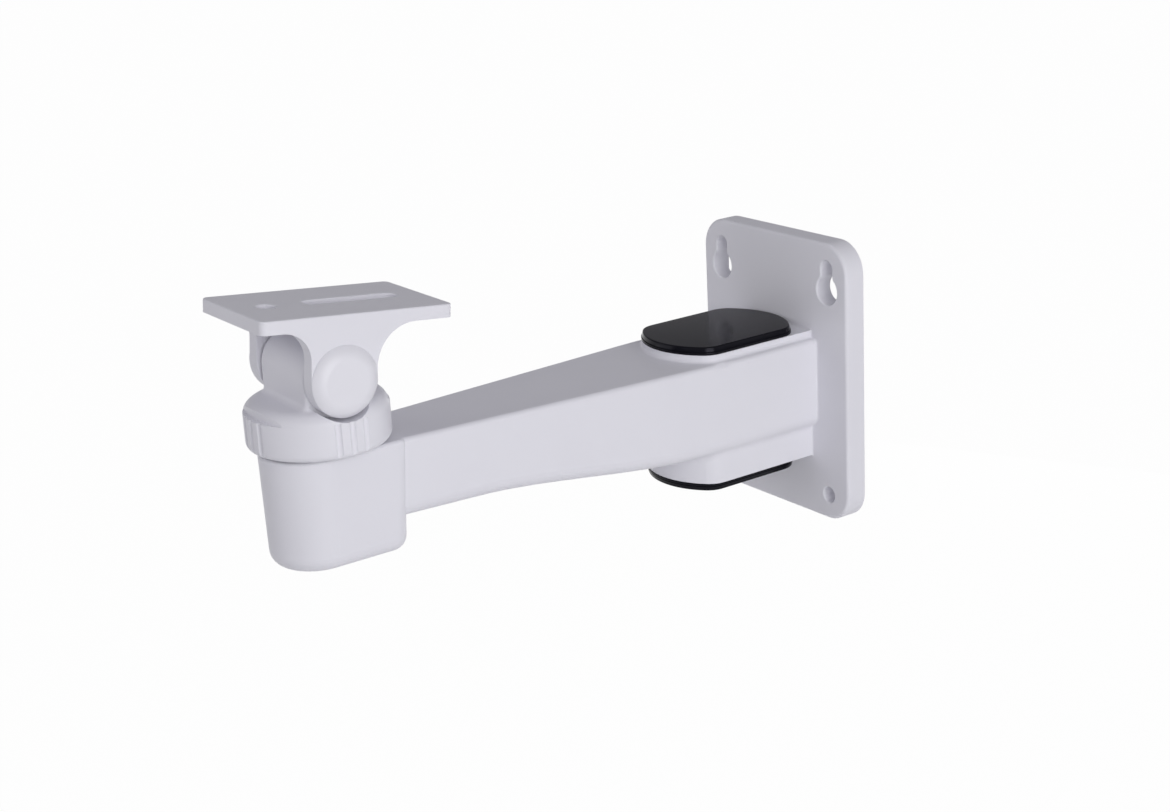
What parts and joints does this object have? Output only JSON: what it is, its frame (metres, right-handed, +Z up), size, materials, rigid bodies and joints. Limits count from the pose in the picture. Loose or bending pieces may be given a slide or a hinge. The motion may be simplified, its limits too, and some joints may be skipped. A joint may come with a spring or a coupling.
{
  "type": "camera wall bracket",
  "caption": "Cast wall bracket for a camera: a hollow tapering arm with a keyhole wall plate, clip-in cable covers, a panning head and a tilting slotted platform.",
  "frame": {"origin": "middle of the wall plate's back face, where it meets the wall", "axes": "+Y into the wall, so the arm reaches out along -Y; +Z up; +X to the right when looking at the wall"},
  "size_m": [0.0908, 0.2587, 0.135],
  "materials": {
    "white_powder_coat": "satin powder coat",
    "black_cover_plastic": "semi-gloss",
    "seal_rubber": "matt",
    "friction_disc_fibre": "matt",
    "white_cap_plastic": "satin",
    "zinc_steel": "zinc plated"
  },
  "bodies": {
    "arm": {"arm_casting": "white_powder_coat", "upper_cover": "black_cover_plastic", "upper_seal": "seal_rubber", "lower_cover": "black_cover_plastic", "lower_seal": "seal_rubber", "pan_friction_disc": "friction_disc_fibre"},
    "head": {"swivel_head": "white_powder_coat", "pan_bolt": "zinc_steel", "pan_spring_washer": "zinc_steel", "pan_washer": "zinc_steel"},
    "platform": {"camera_platform": "white_powder_coat", "near_friction_disc": "friction_disc_fibre", "far_friction_disc": "friction_disc_fibre", "tilt_bolt": "zinc_steel", "tilt_washer": "zinc_steel", "tilt_nut": "zinc_steel", "near_tilt_cap": "white_cap_plastic", "far_tilt_cap": "white_cap_plastic"}
  },
  "joints": [
    {"name": "pan", "type": "hinge", "parent": "arm", "child": "head", "pos_m": [0, -0.2285, 0.03], "axis": [0, 0, 1], "range_deg": [-180, 180]},
    {"name": "tilt", "type": "hinge", "parent": "head", "child": "platform", "pos_m": [0, -0.2285, 0.0475], "axis": [1, 0, 0], "range_deg": [-38.8, 51.2]}
  ]
}
